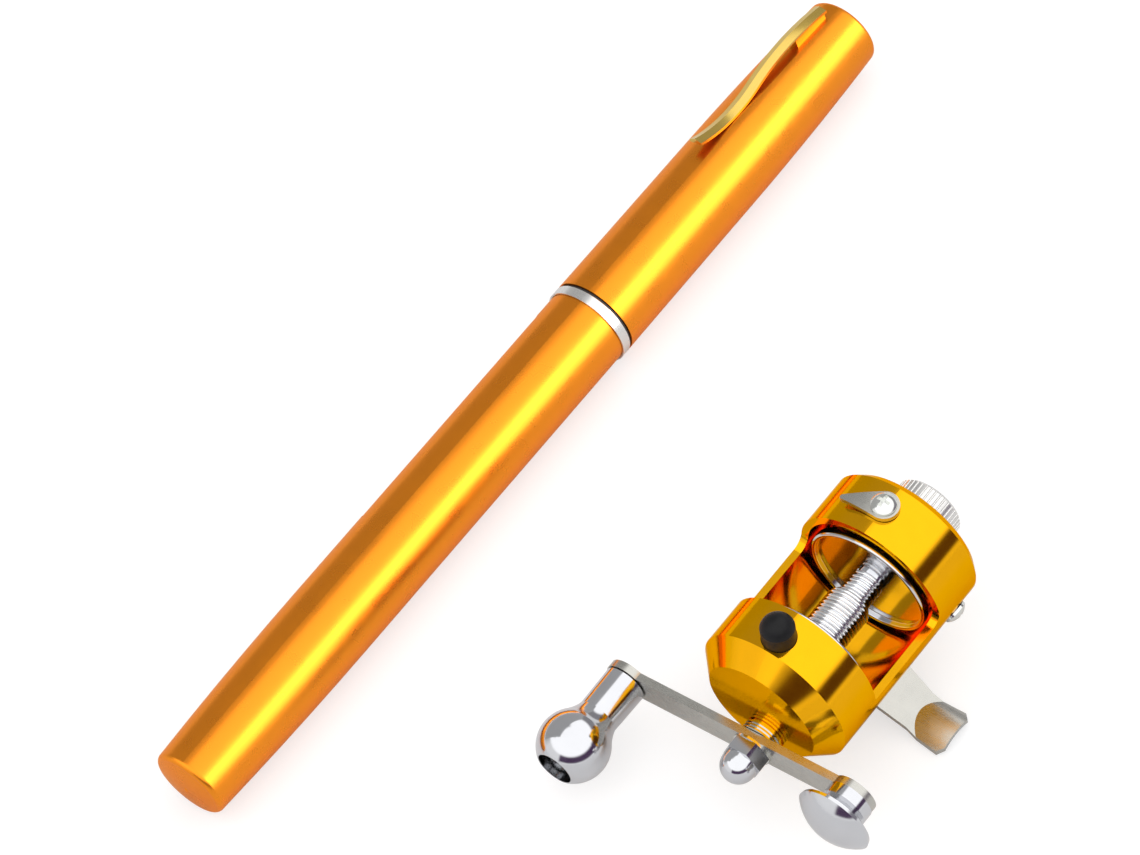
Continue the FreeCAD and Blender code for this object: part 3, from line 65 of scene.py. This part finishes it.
ROOF = 1.5  # brightness of the overhead softbox
DUSK = (0.09, 0.052, 0.11)  # the dark end of the studio
STRIP_DISTANCE = 1.2  # from the strip light to the rod, in metres

LENS = 166.1
CAMERA_DISTANCE = 1.0
CAMERA_TARGET = Vector((2.41, 45.42, 0)) * MM

BUMP_DEPTH = 0.0002  # how deep a material's bump reaches at full strength, in metres
COAT_WEIGHT = 0.4
ARC_STEPS = 6  # runs in a rounded corner
FLOOR_DROP = 0.0002  # how far the floor lies below the lowest point, in metres

# how far each machined edge is rounded, in millimetres
EDGES = {"reel_frame": 0.22, "side_cover": 0.25, "end_cap": 0.18, "crank_plate": 0.2,
         "acorn_nut": 0.2, "counterweight": 0.18, "handle_knob": 0.15,
         "click_lever": 0.18, "tension_knob": 0.06, "reel_foot": 0.15, "cap_shell": 0.15,
         "lock_ring": 0.12, "pocket_clip": 0.08, "clip_block": 0.08, "shaft_bush": 0.1,
         "pivot_screw": 0.08, "side_screws": 0.08, "barrel": 0.12, "button_cap": 0.1}


# ---------------------------------------------------------------- camera, floor and light

def look_at(eye, target, roll):
    """A camera matrix that looks from eye to target, rolled about its own axis."""
    forward = (target - eye).normalized()
    level = forward.cross(Vector((0, 0, 1))).normalized()
    upright = level.cross(forward)
    right = level * math.cos(roll) - upright * math.sin(roll)
    up = level * math.sin(roll) + upright * math.cos(roll)
    matrix = Matrix((right, up, -forward)).transposed().to_4x4()
    matrix.translation = eye
    return matrix


def make_camera():
    """The product camera, above the near left of the pair and rolled a little."""
    azimuth, elevation, roll = (math.radians(a) for a in (-41.83, 56.0, 12.7))
    back = Vector((math.sin(azimuth) * math.cos(elevation),
                   -math.cos(azimuth) * math.cos(elevation), math.sin(elevation)))
    data = bpy.data.cameras.new("product_camera")
    data.sensor_width = 36
    data.lens = LENS
    data.clip_start = 0.05
    camera = bpy.data.objects.new("product_camera", data)
    eye = CAMERA_TARGET + back * CAMERA_DISTANCE
    camera.matrix_world = look_at(eye, CAMERA_TARGET, roll)
    bpy.context.scene.collection.objects.link(camera)
    bpy.context.scene.camera = camera


def make_floor():
    """A plain floor that glows a little for the camera, so that it stays pale."""
    mesh = bpy.data.meshes.new("floor")
    half, level = 3.0, -FLOOR_DROP
    bounced, seen_tone, glow = 0.70, 0.42, 0.62
    mesh.from_pydata([(-half, -half, level), (half, -half, level), (half, half, level),
                      (-half, half, level)], [], [(0, 1, 2, 3)])
    floor = bpy.data.objects.new("floor", mesh)
    bpy.context.scene.collection.objects.link(floor)
    material = bpy.data.materials.new("pale_floor")
    material.use_nodes = True
    tree = material.node_tree
    net = Net(tree)
    shader = tree.nodes["Principled BSDF"]
    shader.inputs["Roughness"].default_value = 0.9
    shader.inputs["Emission Color"].default_value = WHITE
    seen = net.add("ShaderNodeLightPath").outputs["Is Camera Ray"]
    tone = net.ramp(seen, [(0.0, bounced), (1.0, seen_tone)])
    net.put(shader, Base_Color=tone, Emission_Strength=net.math("MULTIPLY", seen, glow))
    mesh.materials.append(material)


class Net:
    """Builds a node tree with one call per node."""

    def __init__(self, tree):
        self.tree = tree

    def add(self, kind, **settings):
        node = self.tree.nodes.new(kind)
        for name, value in settings.items():
            setattr(node, name, value)
        return node

    def put(self, node, **values):
        for name, value in values.items():
            socket = node.inputs[name.replace("_", " ")]
            if isinstance(value, bpy.types.NodeSocket):
                self.tree.links.new(value, socket)
            else:
                socket.default_value = value
        return node

    def math(self, operation, first, second=0.5, third=None):
        node = self.add("ShaderNodeMath", operation=operation)
        for place, value in enumerate((first, second, third)):
            if isinstance(value, bpy.types.NodeSocket):
                self.tree.links.new(value, node.inputs[place])
            elif value is not None:
                node.inputs[place].default_value = value
        return node.outputs[0]

    def blend(self, kind, first, second):
        """Two colours multiplied or added, without a limit of one."""
        node = self.add("ShaderNodeMix", data_type="RGBA", blend_type=kind)
        node.inputs["Factor"].default_value = 1.0
        self.tree.links.new(first, node.inputs[6])
        self.tree.links.new(second, node.inputs[7])
        return node.outputs[2]

    def ramp(self, value, stops):
        """stops is a list of (place, colour or grey)."""
        node = self.add("ShaderNodeValToRGB")
        while len(node.color_ramp.elements) < len(stops):
            node.color_ramp.elements.new(0.5)
        for element, (place, colour) in zip(node.color_ramp.elements, stops):
            element.position = place
            element.color = (*colour, 1) if isinstance(colour, tuple) else (colour,) * 3 + (1,)
        self.tree.links.new(value, node.inputs[0])
        return node.outputs[0]


def make_world():
    """A studio: a wide overhead softbox, a pale end wall, and dark gaps on the near sides."""
    world = bpy.data.worlds.new("studio")
    bpy.context.scene.world = world
    world.use_nodes = True
    tree = world.node_tree
    tree.nodes.clear()
    net = Net(tree)
    direction = net.add("ShaderNodeTexCoord").outputs["Generated"]
    split = net.add("ShaderNodeSeparateXYZ")
    tree.links.new(direction, split.inputs[0])
    height = net.math("MULTIPLY_ADD", split.outputs["Z"], 0.5, 0.5)
    bearing = net.math("ARCTAN2", split.outputs["Y"], split.outputs["X"])
    bearing = net.math("MULTIPLY_ADD", bearing, 0.5 / math.pi, 0.5)
    roof = net.ramp(height, [(0.5, 0.95), (0.53, 0.95), (0.56, 0.0), (0.69, 0.0), (0.74, ROOF)])
    gap = net.ramp(height, [(0.53, 0.0), (0.56, 1.0), (0.69, 1.0), (0.74, 0.0)])
    wall = net.ramp(bearing, [(0.0, DUSK), (0.32, DUSK), (0.36, (0.28, 0.26, 0.30)),
                              (0.60, 0.32), (0.79, 0.36), (0.86, 1.0), (0.985, 1.0), (1.0, DUSK)])
    sky = net.blend("MULTIPLY", wall, gap)
    sky = net.blend("ADD", sky, roof)
    shade_side = net.ramp(bearing, [(0.60, 0.0), (0.63, 1.0), (0.77, 1.0), (0.80, 0.0)])
    shade_rise = net.ramp(height, [(0.60, 0.0), (0.62, 1.0), (0.93, 1.0), (0.95, 0.0)])
    shade = net.math("MULTIPLY", shade_side, shade_rise)
    keep = net.math("MULTIPLY_ADD", shade, -0.7, 1.0)
    sky = net.blend("MULTIPLY", sky, keep)
    light = net.put(net.add("ShaderNodeBackground"), Color=sky, Strength=1.0)
    seen = net.put(net.add("ShaderNodeBackground"), Color=PALE, Strength=1.0)
    path = net.add("ShaderNodeLightPath")
    mix = net.add("ShaderNodeMixShader")
    tree.links.new(path.outputs["Is Camera Ray"], mix.inputs[0])
    tree.links.new(light.outputs[0], mix.inputs[1])
    tree.links.new(seen.outputs[0], mix.inputs[2])
    output = net.add("ShaderNodeOutputWorld")
    tree.links.new(mix.outputs[0], output.inputs[0])


def light_rod(nodes):
    """A long strip softbox along the rod, which lights only the rod."""
    azimuth, elevation = math.radians(-61), math.radians(27)
    aim = Vector((0, 52, 9)) * MM
    way = Vector((math.cos(azimuth) * math.cos(elevation),
                  math.sin(azimuth) * math.cos(elevation), math.sin(elevation)))
    data = bpy.data.lights.new("strip", "AREA")
    data.shape = "RECTANGLE"
    data.size, data.size_y = 1.6, 0.75
    data.energy = 12.5
    light = bpy.data.objects.new("strip", data)
    light.matrix_world = look_at(aim + way * STRIP_DISTANCE, aim, 0)
    bpy.context.scene.collection.objects.link(light)
    group = bpy.data.collections.new("strip_receivers")
    for node in nodes:
        group.objects.link(node)
    light.light_linking.receiver_collection = group


def hang_flag():
    """A grey card behind the rod, seen only in reflections: it gives the rod its amber side."""
    low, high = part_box("barrel")
    behind, over = high[1] + 0.09, high[1] + 0.03
    start, end = low[0] - 0.02, high[0] + 0.32
    foot, top, glow = 0.028, 0.19, 0.40
    mesh = bpy.data.meshes.new("flag")
    mesh.from_pydata([(start, behind, foot), (end, behind, foot), (end, over, top),
                      (start, over, top)], [], [(0, 1, 2, 3)])
    flag = bpy.data.objects.new("flag", mesh)
    bpy.context.scene.collection.objects.link(flag)
    material = bpy.data.materials.new("grey_card")
    material.use_nodes = True
    shader = material.node_tree.nodes["Principled BSDF"]
    shader.inputs["Base Color"].default_value = (0.02, 0.02, 0.02, 1)
    shader.inputs["Emission Color"].default_value = WHITE
    shader.inputs["Emission Strength"].default_value = glow
    mesh.materials.append(material)
    flag.visible_camera = False
    flag.visible_diffuse = False
    flag.visible_shadow = False


# ---------------------------------------------------------------- materials

def metal(name, colour, roughness, grain=0.0, grain_axis=None, mottle=0.06, bump=0.02,
          coat=None, edge=None):
    """A metal whose tone, roughness and height vary a little, with drawn grain if asked."""
    material = bpy.data.materials.new(name)
    material.use_nodes = True
    tree = material.node_tree
    net = Net(tree)
    shader = tree.nodes["Principled BSDF"]
    where = net.add("ShaderNodeTexCoord").outputs["Object"]
    cloud = net.put(net.add("ShaderNodeTexNoise"), Vector=where, Scale=260.0, Detail=4.0)
    low, high = (tuple(c * share for c in colour) for share in (1 - mottle, 1 + mottle * 0.3))
    tone = net.ramp(cloud.outputs["Fac"], [(0.3, low), (0.7, tuple(min(c, 1) for c in high))])
    rough = net.math("MULTIPLY_ADD", cloud.outputs["Fac"], roughness * 0.5, roughness * 0.75)
    height = cloud.outputs["Fac"]
    if grain_axis is not None:
        across_grain, along_grain = 9000.0, 150.0
        stretch = [across_grain] * 3
        stretch[grain_axis] = along_grain
        mapped = net.put(net.add("ShaderNodeMapping"), Vector=where, Scale=stretch)
        lines = net.put(net.add("ShaderNodeTexNoise"), Vector=mapped.outputs[0], Scale=1.0,
                        Detail=2.0)
        rough = net.math("MULTIPLY_ADD", lines.outputs["Fac"], grain, rough)
        height = lines.outputs["Fac"]
    bumped = net.put(net.add("ShaderNodeBump"), Height=height, Strength=bump, Distance=BUMP_DEPTH)
    net.put(shader, Base_Color=tone, Roughness=rough, Normal=bumped.outputs[0])
    shader.inputs["Metallic"].default_value = 1.0
    if edge is not None:
        shader.inputs["Specular Tint"].default_value = (*edge, 1)
    if coat is not None:
        shader.inputs["Coat Weight"].default_value = COAT_WEIGHT
        shader.inputs["Coat Roughness"].default_value = coat
    return material


def plastic(name, colour, roughness, scale=900.0, bump=0.15, mottle=0.25, gloss=0.5):
    """A moulded or rubbery surface with a fine pebbled skin."""
    material = bpy.data.materials.new(name)
    material.use_nodes = True
    tree = material.node_tree
    net = Net(tree)
    shader = tree.nodes["Principled BSDF"]
    where = net.add("ShaderNodeTexCoord").outputs["Object"]
    skin = net.put(net.add("ShaderNodeTexNoise"), Vector=where, Scale=scale, Detail=5.0)
    low = tuple(c * (1 - mottle) for c in colour)
    high = tuple(min(c * (1 + mottle), 1) for c in colour)
    tone = net.ramp(skin.outputs["Fac"], [(0.3, low), (0.7, high)])
    rough = net.math("MULTIPLY_ADD", skin.outputs["Fac"], 0.2, roughness - 0.1)
    bumped = net.put(net.add("ShaderNodeBump"), Height=skin.outputs["Fac"], Strength=bump,
                     Distance=BUMP_DEPTH)
    net.put(shader, Base_Color=tone, Roughness=rough, Normal=bumped.outputs[0])
    shader.inputs["Specular IOR Level"].default_value = gloss
    return material


def make_materials():
    """One material for each slot of the record."""
    return {
        "pen_gold": metal("pen_gold", (0.93, 0.28, 0.004), 0.29, mottle=0.015, bump=0.012,
                          coat=0.3, edge=(1.0, 0.62, 0.15)),
        "reel_gold": metal("reel_gold", (0.94, 0.445, 0.007), 0.12, mottle=0.03, bump=0.01,
                           edge=(1.0, 0.66, 0.10)),
        "satin_aluminium": metal("satin_aluminium", (0.78, 0.77, 0.75), 0.28, bump=0.05),
        "gilt": metal("gilt", (0.72, 0.50, 0.12), 0.09, mottle=0.04, bump=0.01),
        "bright_chrome": metal("bright_chrome", (0.64, 0.645, 0.67), 0.11, mottle=0.03, bump=0.01),
        "satin_steel": metal("satin_steel", (0.54, 0.53, 0.49), 0.22, grain=0.12, grain_axis=1,
                             mottle=0.08, bump=0.04),
        "bright_steel": metal("bright_steel", (0.74, 0.75, 0.72), 0.12, mottle=0.06, bump=0.01),
        "soft_brass": metal("soft_brass", (0.78, 0.55, 0.22), 0.25, bump=0.03),
        "black_rubber": plastic("black_rubber", (0.006, 0.006, 0.007), 0.45, gloss=0.22),
        "black_plastic": plastic("black_plastic", (0.02, 0.02, 0.02), 0.45, bump=0.08),
        "glass_fibre": plastic("glass_fibre", (0.03, 0.03, 0.035), 0.22, scale=1500, bump=0.05),
        "clear_line": metal("clear_line", (0.93, 0.94, 0.96), 0.07, mottle=0.10, bump=0.01),
        "red_gasket": plastic("red_gasket", (0.20, 0.03, 0.015), 0.5),
    }


def dress_frame(materials):
    """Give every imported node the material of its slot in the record."""
    slots = {part["node"]: part["material_slot"] for part in frame["record"]["subparts"]}
    for name, node in frame["nodes"].items():
        node.data.materials.clear()
        node.data.materials.append(materials[slots[name]])


def centre_line(node):
    """The y and z of the axis of a turned piece, and its first and last x."""
    low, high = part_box(node)
    return (low[1] + high[1]) / 2, (low[2] + high[2]) / 2, low[0], high[0]


def turned_piece(name, outline, axis, material, sides=96):
    """A shape turned about a line along X; outline is (x, radius) points in metres."""
    across, up = axis
    mesh = bpy.data.meshes.new(name)
    shape = bmesh.new()
    rings = []
    for x, radius in outline:
        ring = []
        for step in range(sides):
            angle = 2 * math.pi * step / sides
            ring.append(shape.verts.new((x, across + radius * math.cos(angle),
                                         up + radius * math.sin(angle))))
        rings.append(ring)
    for first, second in zip(rings, rings[1:]):
        for step in range(sides):
            after = (step + 1) % sides
            shape.faces.new((first[step], first[after], second[after], second[step]))
    for ring in (rings[0], rings[-1]):
        shape.faces.new(ring)
    bmesh.ops.recalc_face_normals(shape, faces=shape.faces)
    for face in shape.faces:
        face.smooth = True
    shape.to_mesh(mesh)
    shape.free()
    mesh.set_sharp_from_angle(angle=math.radians(35))
    mesh.materials.append(material)
    piece = bpy.data.objects.new(name, mesh)
    bpy.context.scene.collection.objects.link(piece)
    return piece


def round_off(outline):
    """Replace each (x, radius, round) corner with an arc of short runs."""
    spots = []
    for number, (x, radius, size) in enumerate(outline):
        here = Vector((x, radius))
        if size == 0 or number in (0, len(outline) - 1):
            spots.append(tuple(here))
            continue
        before = (Vector(outline[number - 1][:2]) - here).normalized()
        after = (Vector(outline[number + 1][:2]) - here).normalized()
        half = before.angle(after) / 2
        reach = size / math.tan(half)
        centre = here + (before + after).normalized() * (size / math.sin(half))
        first = (here + before * reach - centre).normalized()
        last = (here + after * reach - centre).normalized()
        for step in range(ARC_STEPS + 1):
            way = first.lerp(last, step / ARC_STEPS).normalized()
            spots.append(tuple(centre + way * size))
    return spots


def tube(name, points, radius):
    """A round wire along straight runs between close points, not yet in the scene."""
    curve = bpy.data.curves.new(name, "CURVE")
    curve.dimensions = "3D"
    curve.bevel_depth = radius
    curve.bevel_resolution = 3
    curve.use_fill_caps = True
    spline = curve.splines.new("POLY")
    spline.points.add(len(points) - 1)
    for spot, place in zip(spline.points, points):
        spot.co = (*place, 1)
    return bpy.data.objects.new(name, curve)


def turn_spool(material):
    """The spool with rounded rims, which the CAD leaves sharp."""
    across, up, start, end = centre_line("spool")
    rim = (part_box("spool")[1][2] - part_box("spool")[0][2]) / 2
    hole, arbor, rim_width = 1.3 * MM, 2.4 * MM, 0.9 * MM
    near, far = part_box("line_winding")[0][0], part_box("line_winding")[1][0]
    lip = end - 2.1 * MM
    outline = [
        (start, hole, 0), (start, rim, 0.4 * MM), (near, rim, 0.4 * MM),
        (near, arbor, 0.2 * MM), (far, arbor, 0.2 * MM),
        (far, rim - rim_width, 0.15 * MM), (lip, rim - rim_width, 0.3 * MM),
        (lip, rim, 0.45 * MM), (end, rim, 0.5 * MM), (end, hole, 0)]
    spool = turned_piece("spool_turned", round_off(outline), (across, up), material)
    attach(spool, "spool")
    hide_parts("spool")


def wind_line(material):
    """The line as single turns over a solid core, two layers deep for two thirds of the spool."""
    across, up, start, end = centre_line("line_winding")
    full = (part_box("line_winding")[1][2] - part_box("line_winding")[0][2]) / 2
    line, pitch, sides = 0.40 * MM, 0.86 * MM, 40
    low_layer = full - 1.3 * MM
    step_at = start + (end - start) * 0.635
    step_length = 1.4 * MM
    wobble = random.Random(5)
    turns = int((end - start - 2 * line) / pitch)
    points = []
    shake = [wobble.uniform(-1, 1) for _ in range(turns + 2)]
    for number in range(turns * sides + 1):
        turn = number / sides
        whole = int(turn)
        drift = shake[whole] + (shake[whole + 1] - shake[whole]) * (turn - whole)
        x = start + line * 1.3 + turn * pitch + drift * 0.12 * MM
        share = min(max((x - step_at) / step_length, 0), 1)
        radius = (full - 0.05 * MM) * (1 - share) + low_layer * share - line
        radius -= 0.06 * MM * abs(drift)
        angle = turn * 2 * math.pi
        points.append((x, across + radius * math.cos(angle), up + radius * math.sin(angle)))
    turns_piece = tube("line_turns", points, line)
    turns_piece.data.materials.append(material)
    bpy.context.scene.collection.objects.link(turns_piece)
    core = turned_piece("line_core", [
        (start, full - 0.6 * MM), (step_at, full - 0.6 * MM),
        (step_at + step_length, low_layer - 0.5 * MM), (end, low_layer - 0.5 * MM)],
        (across, up), material)
    for piece in (turns_piece, core):
        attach(piece, "spool")
    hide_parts("line_winding")
    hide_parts("line_winding")


def coil_spring(material):
    """The button's spring, a fixed coil of wire carried on the button's body."""
    low, high = (Vector(corner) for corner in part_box("button_spring"))
    middle = (low + high) / 2
    wire, pitch, sides = 0.17 * MM, 0.95 * MM, 32
    radius = (high.x - low.x) / 2 - wire
    rise = high.z - low.z - 2 * wire
    steps = int(rise / pitch * sides)
    points = []
    for number in range(steps + 1):
        angle = number * 2 * math.pi / sides
        points.append((middle.x + radius * math.cos(angle), middle.y + radius * math.sin(angle),
                       low.z + wire + rise * number / steps))
    path = tube("spring_path", points, wire)
    mesh = bpy.data.meshes.new_from_object(path)
    bpy.data.objects.remove(path)
    mesh.materials.clear()
    mesh.materials.append(material)
    coil = bpy.data.objects.new("spring_coil", mesh)
    bpy.context.scene.collection.objects.link(coil)
    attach(coil, "button")
    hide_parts("button_spring")
    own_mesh(coil)


def soften_edges():
    """Round the machined edges that catch the light."""
    for name, width in EDGES.items():
        bevel = frame["nodes"][name].modifiers.new("edge", "BEVEL")
        bevel.width = width * MM
        bevel.segments = 2
        bevel.limit_method = "ANGLE"
        bevel.angle_limit = math.radians(28)  # leaves the facets of round faces alone
        bevel.harden_normals = True


make_camera()
make_floor()
make_world()
hang_flag()
bpy.context.scene.view_settings.view_transform = "Standard"
materials = make_materials()
dress_frame(materials)
wind_line(materials["clear_line"])
turn_spool(materials["bright_chrome"])
coil_spring(materials["bright_steel"])
soften_edges()
light_rod([node for name, node in frame["nodes"].items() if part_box(name)[0][1] > 0.03])
